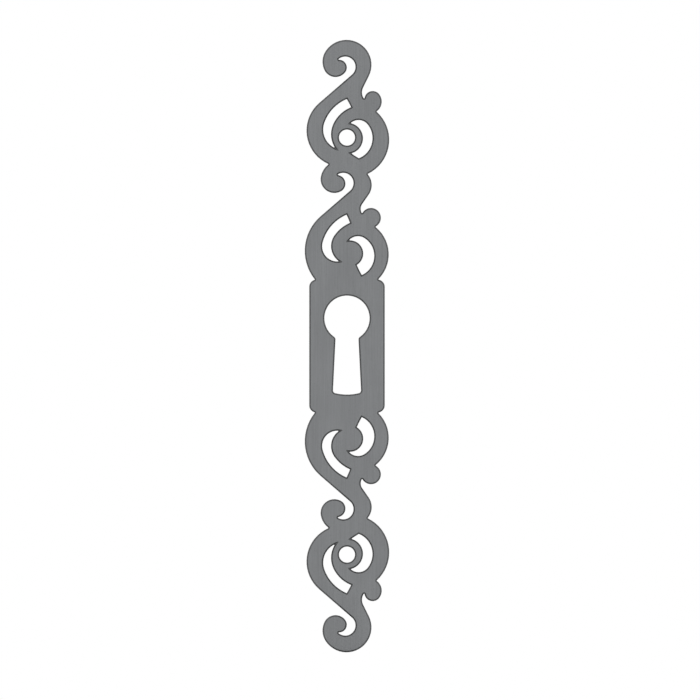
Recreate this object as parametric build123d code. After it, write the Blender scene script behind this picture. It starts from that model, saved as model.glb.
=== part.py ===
from build123d import *
import os
from math import asin, atan2, copysign, cos, dist, radians, sin, sqrt, tau
from typing import NamedTuple

# Keyhole escutcheon: one flat plate of sheet steel, cut to a scroll outline and pierced.
# Lengths are in millimetres and angles in degrees. X runs across the plate, Z along it and
# Y through it. The back lies on Y = 0 and the front faces -Y. The origin is midway between
# the screw holes. Above and below the middle panel stand two tiers of scrollwork, each round
# a hub, and the plate's lower half mirrors its upper half.


class Disc(NamedTuple):
    """A circle that an outline runs round.

    The outline turns left round a positive radius and right round a negative one.
    """

    across: float
    rise: float
    radius: float


class Join(NamedTuple):
    """The next circle of a run, which touches the one before it at this angle."""

    radius: float
    angle: float


class Loop(NamedTuple):
    """A round side of a scroll, which stands out past the side of the panel."""

    overhang: float
    rise: float
    radius: float


class Hollow(NamedTuple):
    """The round foot of a stem. It starts in a corner at an angle on the knob, and leans away from it."""

    start: float
    lean: float
    radius: float


class Opening(NamedTuple):
    """A crescent cut through a loop.

    Its inner and outer edges run together in a tip at one end. At the other, a shallow arc
    leads from the inner edge to the outer.
    """

    inner: list
    end: Disc
    outer: list


class Scroll(NamedTuple):
    """One tier of scrollwork.

    Loops and openings are placed from the hub, the knob from its own level, and curl and throat
    from the level of the curl.
    """

    left_loop: Loop
    right_loop: Loop
    knob: list
    hollow: Hollow
    curl: list
    throat: Disc
    left_opening: Opening
    right_opening: Opening


# Sheet
THICKNESS = 1.5
EDGE_BREAK = 0.3
CUT_RADIUS = 0.1

# Middle panel
PANEL_WIDTH = 15.1
PANEL_LENGTH = 26.6
PANEL_CORNER = 1.45

# Keyhole
KEY_LENGTH = 19.8
KEY_RISE = 0.2
KEY_BOW = 9.05
KEY_NECK = 4.6
KEY_NECK_RADIUS = 0.7
KEY_FOOT = 5.6
KEY_FOOT_RADIUS = 10.0
KEY_FOOT_CORNER = 0.6

# Screw holes, through the hubs of the outer tiers
SCREW_HOLE = 3.2

# Stack of the tiers, from the end of the panel outwards
PANEL_TO_HUB = 5.2
HUB_TO_KNOB = 7.15
KNOB_TO_CURL = 7.4
CURL_TO_NEXT_HUB = 8.65

# Least gap between a curl and the hollow below it
HOLLOW_GAP = 0.1

INNER = Scroll(
    left_loop=Loop(0.90, 0.55, 9.15),
    right_loop=Loop(0.80, -0.15, 7.00),
    knob=[Disc(4.80, 0.00, 1.98)],
    hollow=Hollow(154, 33, 1.70),
    curl=[Disc(1.60, -0.85, 3.35), Disc(-1.30, 0.10, 4.00), Join(2.75, 170), Join(1.75, 298)],
    throat=Disc(-0.75, -0.45, -2.05),
    left_opening=Opening(
        inner=[Disc(0.50, 1.50, -3.70), Join(-7.35, 145)],
        end=Disc(-18.10, -0.95, 20.00),
        outer=[Disc(3.20, 0.10, 8.35), Join(3.05, 165)],
    ),
    right_opening=Opening(
        inner=[Disc(0.60, 0.00, -2.65)],
        end=Disc(20.35, 5.60, 20.00),
        outer=[Disc(1.25, -0.45, 4.20), Join(2.40, 58)],
    ),
)

OUTER = Scroll(
    left_loop=Loop(0.55, 1.40, 7.30),
    right_loop=Loop(0.90, -0.45, 7.55),
    knob=[Disc(4.55, 0.05, 2.40), Join(1.65, 38)],
    hollow=Hollow(179.5, 39.5, 2.15),
    curl=[Disc(-0.10, 0.00, 5.00), Join(3.85, 146), Join(2.45, 207), Join(1.55, 323)],
    throat=Disc(-0.35, -0.40, -2.05),
    left_opening=Opening(
        inner=[Disc(1.75, 0.65, -4.95), Join(-6.50, 156)],
        end=Disc(-17.20, -2.60, 20.00),
        outer=[Disc(3.10, 0.25, 8.10), Join(4.10, 160)],
    ),
    right_opening=Opening(
        inner=[Disc(0.10, -0.15, -3.10)],
        end=Disc(12.45, 13.15, 20.00),
        outer=[Disc(0.75, -0.10, 4.35), Join(2.35, 39)],
    ),
)

# Marks a place where two arcs meet in a corner
CORNER = None

# Arcs whose ends are closer than this touch, with no line between them
TOUCH = 1e-6

inner_hub = PANEL_LENGTH / 2 + PANEL_TO_HUB
outer_hub = inner_hub + HUB_TO_KNOB + KNOB_TO_CURL + CURL_TO_NEXT_HUB


def touching(disc, radius, angle):
    """The disc of a given radius that an outline passes to, without a bend, at an angle on another disc."""
    shift = copysign(disc.radius - radius, disc.radius * (disc.radius - radius))
    return Disc(
        disc.across + shift * cos(radians(angle)),
        disc.rise + shift * sin(radians(angle)),
        radius,
    )


def chain(run, level):
    """The discs of a run, raised to a level."""
    discs = []
    for item in run:
        if isinstance(item, Join):
            discs.append(touching(discs[-1], item.radius, item.angle))
        else:
            discs.append(item._replace(rise=level + item.rise))
    return discs


def corner(first, second, radius):
    """The small disc that rounds the corner where an outline passes from one disc to another."""
    reach = abs(first.radius - radius)
    next_reach = abs(second.radius - radius)
    gap = dist(first[:2], second[:2])
    along = (gap**2 + reach**2 - next_reach**2) / (2 * gap)
    aside = copysign(sqrt(max(reach**2 - along**2, 0)), radius * first.radius * second.radius)
    step_x = (second.across - first.across) / gap
    step_z = (second.rise - first.rise) / gap
    return Disc(
        first.across + along * step_x - aside * step_z,
        first.rise + along * step_z + aside * step_x,
        radius,
    )


def with_corners(stops, radius):
    """The stops with each corner mark replaced by its disc."""
    following = stops[1:] + stops[:1]
    before = stops[-1:] + stops[:-1]
    return [
        corner(last, after, radius) if stop is CORNER else stop
        for last, stop, after in zip(before, stops, following)
    ]


def tangent(first, second):
    """The ends of the straight line that leads from one disc to the next."""
    gap = dist(first[:2], second[:2])
    slope = (second.radius - first.radius) / gap
    heading = atan2(second.rise - first.rise, second.across - first.across) - asin(max(-1, min(1, slope)))
    start, end = (
        (disc.across + disc.radius * sin(heading), disc.rise - disc.radius * cos(heading))
        for disc in (first, second)
    )
    return (start, end) if dist(start, end) > TOUCH else (start, start)


def arc_round(disc, start, end):
    """The arc round a disc from one point on it to another."""
    start_angle, end_angle = (atan2(z - disc.rise, x - disc.across) for x, z in (start, end))
    way = copysign(1, disc.radius)
    middle_angle = start_angle + way * (way * (end_angle - start_angle) % tau) / 2
    reach = abs(disc.radius)
    middle = (disc.across + reach * cos(middle_angle), disc.rise + reach * sin(middle_angle))
    return ThreePointArc(start, middle, end)


def face_round(stops):
    """The face inside a closed line that runs round each disc in turn, straight from one to the next."""
    lines = [tangent(first, second) for first, second in zip(stops, stops[1:] + stops[:1])]
    edges = []
    for disc, (_, arrival), (departure, next_arrival) in zip(stops, lines[-1:] + lines[:-1], lines):
        edges.append(arc_round(disc, arrival, departure))
        if departure != next_arrival:
            edges.append(Line(departure, next_arrival))
    return make_face(edges)


def spread(stops, distance):
    """The stops of a line that runs beside another, this far to its right."""
    return [stop if stop is CORNER else stop._replace(radius=stop.radius + distance) for stop in stops]


def below(stops):
    """The stops mirrored to the lower half, in the order that keeps the line running the same way."""
    return [stop if stop is CORNER else stop._replace(rise=-stop.rise) for stop in reversed(stops)]


def foot(hollow, knob, curl):
    """The disc of a hollow, as large as the room below the curl allows."""
    start_x = knob.across + knob.radius * cos(radians(hollow.start))
    start_z = knob.rise + knob.radius * sin(radians(hollow.start))
    lean_x = cos(radians(hollow.lean))
    lean_z = sin(radians(hollow.lean))
    from_curl_x = start_x - curl.across
    from_curl_z = start_z - curl.rise
    clear = curl.radius + HOLLOW_GAP
    room = (from_curl_x**2 + from_curl_z**2 - clear**2) / 2
    radius = min(hollow.radius, room / (clear - from_curl_x * lean_x - from_curl_z * lean_z))
    return Disc(start_x + radius * lean_x, start_z + radius * lean_z, -radius)


def right_side(scroll, hub):
    """The right side of a tier, going up: loop, knob, hollow and curl."""
    across = PANEL_WIDTH / 2 + scroll.right_loop.overhang - scroll.right_loop.radius
    loop = Disc(across, hub + scroll.right_loop.rise, scroll.right_loop.radius)
    knob_level = hub + HUB_TO_KNOB
    knob = chain(scroll.knob, knob_level)
    curl = chain(scroll.curl, knob_level + KNOB_TO_CURL)[0]
    return [loop, CORNER, *knob, CORNER, foot(scroll.hollow, knob[-1], curl), curl]


def left_side(scroll, hub):
    """The left side of a tier, coming down: the rest of the curl, the throat and the loop."""
    curl_level = hub + HUB_TO_KNOB + KNOB_TO_CURL
    volute = chain(scroll.curl, curl_level)[1:]
    across = scroll.left_loop.radius - PANEL_WIDTH / 2 - scroll.left_loop.overhang
    loop = Disc(across, hub + scroll.left_loop.rise, scroll.left_loop.radius)
    return [*volute, CORNER, *chain([scroll.throat], curl_level), loop]


def outline():
    """The plate's outer edge."""
    shoulder = Disc(PANEL_WIDTH / 2 - PANEL_CORNER, PANEL_LENGTH / 2 - PANEL_CORNER, PANEL_CORNER)
    going_up = [shoulder, CORNER, *right_side(INNER, inner_hub), CORNER, *right_side(OUTER, outer_hub)]
    coming_down = [*left_side(OUTER, outer_hub), CORNER, *left_side(INNER, inner_hub), CORNER]
    upper = [*going_up, *coming_down, shoulder._replace(across=-shoulder.across)]
    return face_round(with_corners(upper + below(upper), -CUT_RADIUS))


def crescent(opening, hub, growth=0):
    """The face of an opening, grown on all sides. Its corners are rounded only by the cutter."""
    inner = chain(opening.inner, hub)
    end = chain([opening.end], hub)
    outer = chain(opening.outer, hub)
    stops = spread([CORNER, *inner, CORNER, *end, CORNER, *outer], growth)
    return face_round(with_corners(stops, CUT_RADIUS))


def piercing(opening, hub):
    """The cut that makes an opening: straight through, then flared to the front."""
    edge = crescent(opening, hub)
    flared_edge = crescent(opening, hub, EDGE_BREAK)
    depth = THICKNESS - EDGE_BREAK
    flare = loft([Plane.XZ.offset(depth) * edge, Plane.XZ.offset(THICKNESS) * flared_edge], ruled=True)
    return extrude(Plane.XZ * edge, depth) + flare


def piercings():
    """The cuts for the openings of every tier, above and below the panel."""
    upper = [
        piercing(opening, hub)
        for scroll, hub in ((INNER, inner_hub), (OUTER, outer_hub))
        for opening in (scroll.left_opening, scroll.right_opening)
    ]
    return upper + [mirror(cut, Plane.XY) for cut in upper]


def keyhole():
    """The round bow for the key's shank, and the slot below it for the bit."""
    bow_radius = KEY_BOW / 2
    bow = Disc(0, KEY_RISE + KEY_LENGTH / 2 - bow_radius, bow_radius)
    neck_across = KEY_NECK / 2 + KEY_NECK_RADIUS
    neck_drop = sqrt((bow_radius + KEY_NECK_RADIUS) ** 2 - neck_across**2)
    sole = Disc(0, KEY_RISE - KEY_LENGTH / 2 + KEY_FOOT_RADIUS, KEY_FOOT_RADIUS)
    heel_across = KEY_FOOT / 2 - KEY_FOOT_CORNER
    heel_drop = sqrt((KEY_FOOT_RADIUS - KEY_FOOT_CORNER) ** 2 - heel_across**2)
    left_neck = Disc(-neck_across, bow.rise - neck_drop, -KEY_NECK_RADIUS)
    left_heel = Disc(-heel_across, sole.rise - heel_drop, KEY_FOOT_CORNER)
    right_heel = left_heel._replace(across=heel_across)
    right_neck = left_neck._replace(across=neck_across)
    return face_round([bow, left_neck, left_heel, sole, right_heel, right_neck])


def screw_holes():
    """The two holes for the fixing screws."""
    return [Pos(0, rise) * Circle(SCREW_HOLE / 2) for rise in (outer_hub, -outer_hub)]


def escutcheon_plate():
    """The pierced plate, with its front edges broken."""
    profile = outline() - [keyhole(), *screw_holes()]
    blank = extrude(Plane.XZ * profile, THICKNESS)
    front = blank.faces().sort_by(Axis.Y)[0]
    return chamfer(front.edges(), EDGE_BREAK) - piercings()


os.makedirs("parts", exist_ok=True)
export_step(escutcheon_plate(), "parts/escutcheon_plate.step")
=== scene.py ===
from math import radians

import bpy
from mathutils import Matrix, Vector


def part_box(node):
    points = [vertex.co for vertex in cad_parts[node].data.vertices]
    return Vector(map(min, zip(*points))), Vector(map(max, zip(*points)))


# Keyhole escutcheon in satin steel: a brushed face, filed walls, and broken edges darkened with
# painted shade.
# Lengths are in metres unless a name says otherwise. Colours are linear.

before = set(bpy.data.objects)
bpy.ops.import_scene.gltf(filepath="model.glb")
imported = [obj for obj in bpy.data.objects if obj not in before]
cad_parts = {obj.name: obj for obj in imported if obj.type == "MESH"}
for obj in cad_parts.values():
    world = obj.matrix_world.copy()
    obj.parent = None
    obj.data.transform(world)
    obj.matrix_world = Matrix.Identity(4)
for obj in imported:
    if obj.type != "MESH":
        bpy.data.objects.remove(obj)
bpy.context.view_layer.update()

PLATE = "escutcheon_plate"
MM_PER_M = 1000.0

# Picture: straight on to the front, with no perspective
VIEW_HEIGHT = 0.140
VIEW_CENTRE = (0.00060, -0.00078)
LEVEL_TURN = (radians(90.0), 0.0, 0.0)
CAMERA_DISTANCE = 0.6
CAMERA_NEAR = 0.01

# Steel
METALLIC = 1.0
FACE_COLOUR = (0.224, 0.230, 0.236, 1.0)
# The broken edges are painted dark: painted shade that draws a dark line round every edge.
PAINTED_EDGE_SHADE = (0.114, 0.116, 0.118, 1.0)
WALL_COLOUR = (0.150, 0.153, 0.157, 1.0)
FACE_ROUGHNESS = (0.36, 0.50)
EDGE_ROUGHNESS = (0.45, 0.62)
RELIEF_DEPTH = 0.00002

# How squarely a surface faces the front or back, where the face turns to edge and the edge to wall
FACE_TO_EDGE = (0.995, 0.970)
EDGE_TO_WALL = (0.5, 0.2)

# Marks on the steel: features per millimetre along X, Y and Z, and octaves of detail
GRAIN = ((7.0, 7.0, 0.10), 4.0)
FINE_GRAIN = ((22.0, 22.0, 0.5), 2.0)
FINE_GRAIN_SHARE = 0.4
FILE_MARKS = ((6.0, 0.35, 6.0), 3.0)
CLOUDS = ((0.16, 0.16, 0.09), 3.0)
PITS = ((5.0, 5.0, 5.0), 2.0)

# Most of the noise lies in the first span, and only the pits in the second
NOISE_SPAN = (0.25, 0.75)
PIT_SPAN = (0.28, 0.36)

# Factors from the dark to the light of each mark
GRAIN_TONE = (0.90, 1.10)
FILE_TONE = (0.75, 1.25)
CLOUD_TONE = (0.96, 1.04)
PIT_TONE = (0.90, 1.00)

# Room
FLOOR_COLOUR = (0.82, 0.82, 0.82, 1.0)
FLOOR_ROUGHNESS = 0.9
FLOOR_SIZE = 4.0
WHITE = (1.0, 1.0, 1.0, 1.0)
WORLD_LIGHT = 0.90
SEEN_LIGHT = 1.0

# Softboxes: place and power in watts
SOFTBOX_SIZE = 0.40
SOFTBOXES = {
    "key": ((-0.35, -0.50, 0.45), 0.60),
    "fill": ((0.45, -0.45, 0.10), 0.30),
    "back": ((0.20, 0.55, 0.40), 0.50),
}


class Tree:
    """A material's nodes, with short calls for those that it needs."""

    def __init__(self, name):
        self.material = bpy.data.materials.new(name)
        self.material.use_nodes = True
        self.nodes = self.material.node_tree.nodes
        self.links = self.material.node_tree.links
        self.shader = self.nodes["Principled BSDF"]

    def connect(self, value, socket):
        """Puts a plain value in a socket, or links an output to it."""
        if isinstance(value, bpy.types.NodeSocket):
            self.links.new(value, socket)
        else:
            socket.default_value = value

    def math(self, operation, *values):
        node = self.nodes.new("ShaderNodeMath")
        node.operation = operation
        for value, socket in zip(values, node.inputs):
            self.connect(value, socket)
        return node.outputs[0]

    def scale(self, vector, factor):
        """A vector or colour times a number."""
        node = self.nodes.new("ShaderNodeVectorMath")
        node.operation = "SCALE"
        self.connect(vector, node.inputs[0])
        self.connect(factor, node.inputs["Scale"])
        return node.outputs[0]

    def ramp(self, value, span, result=(0.0, 1.0)):
        """A smooth step over a span of the value, from one result to the other."""
        node = self.nodes.new("ShaderNodeMapRange")
        node.interpolation_type = "SMOOTHSTEP"
        self.connect(value, node.inputs["Value"])
        node.inputs["From Min"].default_value, node.inputs["From Max"].default_value = span
        node.inputs["To Min"].default_value, node.inputs["To Max"].default_value = result
        return node.outputs["Result"]

    def mix(self, share, first, second, kind="FLOAT"):
        """The first value, with a share of the second mixed in."""
        node = self.nodes.new("ShaderNodeMix")
        node.data_type = kind
        self.connect(share, node.inputs["Factor"])
        self.connect(first, node.inputs["A"])
        self.connect(second, node.inputs["B"])
        return node.outputs["Result"]

    def noise(self, place, mark):
        """The noise of a kind of mark, whose pitch alone sets its scale, at a place in millimetres."""
        pitch, detail = mark
        stretch = self.nodes.new("ShaderNodeVectorMath")
        stretch.operation = "MULTIPLY"
        self.connect(place, stretch.inputs[0])
        self.connect(pitch, stretch.inputs[1])
        node = self.nodes.new("ShaderNodeTexNoise")
        node.inputs["Scale"].default_value = 1.0
        node.inputs["Detail"].default_value = detail
        self.links.new(stretch.outputs[0], node.inputs["Vector"])
        return node.outputs["Fac"]

    def millimetres(self):
        """The place on the object, in millimetres."""
        coordinates = self.nodes.new("ShaderNodeTexCoord")
        return self.scale(coordinates.outputs["Object"], MM_PER_M)

    def facing(self):
        """How squarely the surface faces the front or the back, from 0 to 1."""
        geometry = self.nodes.new("ShaderNodeNewGeometry")
        split = self.nodes.new("ShaderNodeSeparateXYZ")
        self.links.new(geometry.outputs["True Normal"], split.inputs[0])
        return self.math("ABSOLUTE", split.outputs["Y"])

    def bump(self, height, depth):
        """The normal of a surface whose height varies by a depth."""
        node = self.nodes.new("ShaderNodeBump")
        node.inputs["Distance"].default_value = depth
        self.connect(height, node.inputs["Height"])
        return node.outputs["Normal"]


def satin_steel():
    """Brushed steel: a grain along the plate, file marks across its walls and broken edges painted
    dark as shade.
    """
    tree = Tree("satin_steel")
    place = tree.millimetres()
    facing = tree.facing()
    off_face = tree.ramp(facing, FACE_TO_EDGE)
    on_wall = tree.ramp(facing, EDGE_TO_WALL)

    grain = tree.mix(FINE_GRAIN_SHARE, tree.noise(place, GRAIN), tree.noise(place, FINE_GRAIN))
    clouds = tree.ramp(tree.noise(place, CLOUDS), NOISE_SPAN, CLOUD_TONE)
    pits = tree.ramp(tree.noise(place, PITS), PIT_SPAN, PIT_TONE)
    files = tree.noise(place, FILE_MARKS)

    patina = tree.math("MULTIPLY", clouds, pits)
    face_tone = tree.math("MULTIPLY", tree.ramp(grain, NOISE_SPAN, GRAIN_TONE), patina)
    tone = tree.mix(off_face, face_tone, tree.ramp(files, NOISE_SPAN, FILE_TONE))
    # Painted shade on the broken edges, blended into the walls' own darker steel.
    edge = tree.mix(on_wall, PAINTED_EDGE_SHADE, WALL_COLOUR, "RGBA")
    metal = tree.mix(off_face, FACE_COLOUR, edge, "RGBA")
    tree.connect(tree.scale(metal, tone), tree.shader.inputs["Base Color"])

    face_roughness = tree.ramp(grain, NOISE_SPAN, FACE_ROUGHNESS)
    edge_roughness = tree.ramp(files, NOISE_SPAN, EDGE_ROUGHNESS)
    tree.connect(tree.mix(off_face, face_roughness, edge_roughness), tree.shader.inputs["Roughness"])

    relief = tree.bump(tree.mix(off_face, grain, files), RELIEF_DEPTH)
    tree.connect(relief, tree.shader.inputs["Normal"])
    tree.shader.inputs["Metallic"].default_value = METALLIC
    return tree.material


def pale_floor():
    """Matt pale floor."""
    tree = Tree("pale_floor")
    tree.shader.inputs["Base Color"].default_value = FLOOR_COLOUR
    tree.shader.inputs["Roughness"].default_value = FLOOR_ROUGHNESS
    return tree.material


def add_floor(level):
    """The ground that the plate stands on."""
    bpy.ops.mesh.primitive_plane_add(size=FLOOR_SIZE, location=(0.0, 0.0, level))
    floor = bpy.context.object
    floor.name = "floor"
    floor.data.materials.append(pale_floor())


def add_world():
    """White as the camera and reflections see it, and a softer white as light."""
    world = bpy.data.worlds.new("studio")
    bpy.context.scene.world = world
    world.use_nodes = True
    nodes = world.node_tree.nodes
    links = world.node_tree.links
    light = nodes["Background"]
    light.inputs["Color"].default_value = WHITE
    light.inputs["Strength"].default_value = WORLD_LIGHT
    seen = nodes.new("ShaderNodeBackground")
    seen.inputs["Color"].default_value = WHITE
    seen.inputs["Strength"].default_value = SEEN_LIGHT
    path = nodes.new("ShaderNodeLightPath")
    mask = path.outputs["Is Camera Ray"]
    for ray in ("Is Glossy Ray", "Is Transmission Ray"):
        either = nodes.new("ShaderNodeMath")
        either.operation = "MAXIMUM"
        links.new(mask, either.inputs[0])
        links.new(path.outputs[ray], either.inputs[1])
        mask = either.outputs[0]
    mix = nodes.new("ShaderNodeMixShader")
    links.new(mask, mix.inputs["Fac"])
    links.new(light.outputs[0], mix.inputs[1])
    links.new(seen.outputs[0], mix.inputs[2])
    links.new(mix.outputs[0], nodes["World Output"].inputs["Surface"])


def add_softbox(name, place, power):
    """A square lamp that faces the middle of the plate."""
    lamp = bpy.data.lights.new(name, "AREA")
    lamp.size = SOFTBOX_SIZE
    lamp.energy = power
    softbox = bpy.data.objects.new(name, lamp)
    softbox.location = place
    softbox.rotation_euler = (-Vector(place)).to_track_quat("-Z", "Y").to_euler()
    bpy.context.collection.objects.link(softbox)


def add_camera():
    """A level camera, square to the front of the plate."""
    data = bpy.data.cameras.new("camera")
    data.type = "ORTHO"
    data.ortho_scale = VIEW_HEIGHT
    data.clip_start = CAMERA_NEAR
    camera = bpy.data.objects.new("camera", data)
    across, rise = VIEW_CENTRE
    camera.location = (across, -CAMERA_DISTANCE, rise)
    camera.rotation_euler = LEVEL_TURN
    bpy.context.collection.objects.link(camera)
    bpy.context.scene.camera = camera


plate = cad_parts[PLATE]
plate.data.materials.clear()
plate.data.materials.append(satin_steel())

low_corner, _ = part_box(PLATE)
add_floor(low_corner.z)
add_world()
for name, (place, power) in SOFTBOXES.items():
    add_softbox(name, place, power)
add_camera()
bpy.context.scene.view_settings.view_transform = "Standard"
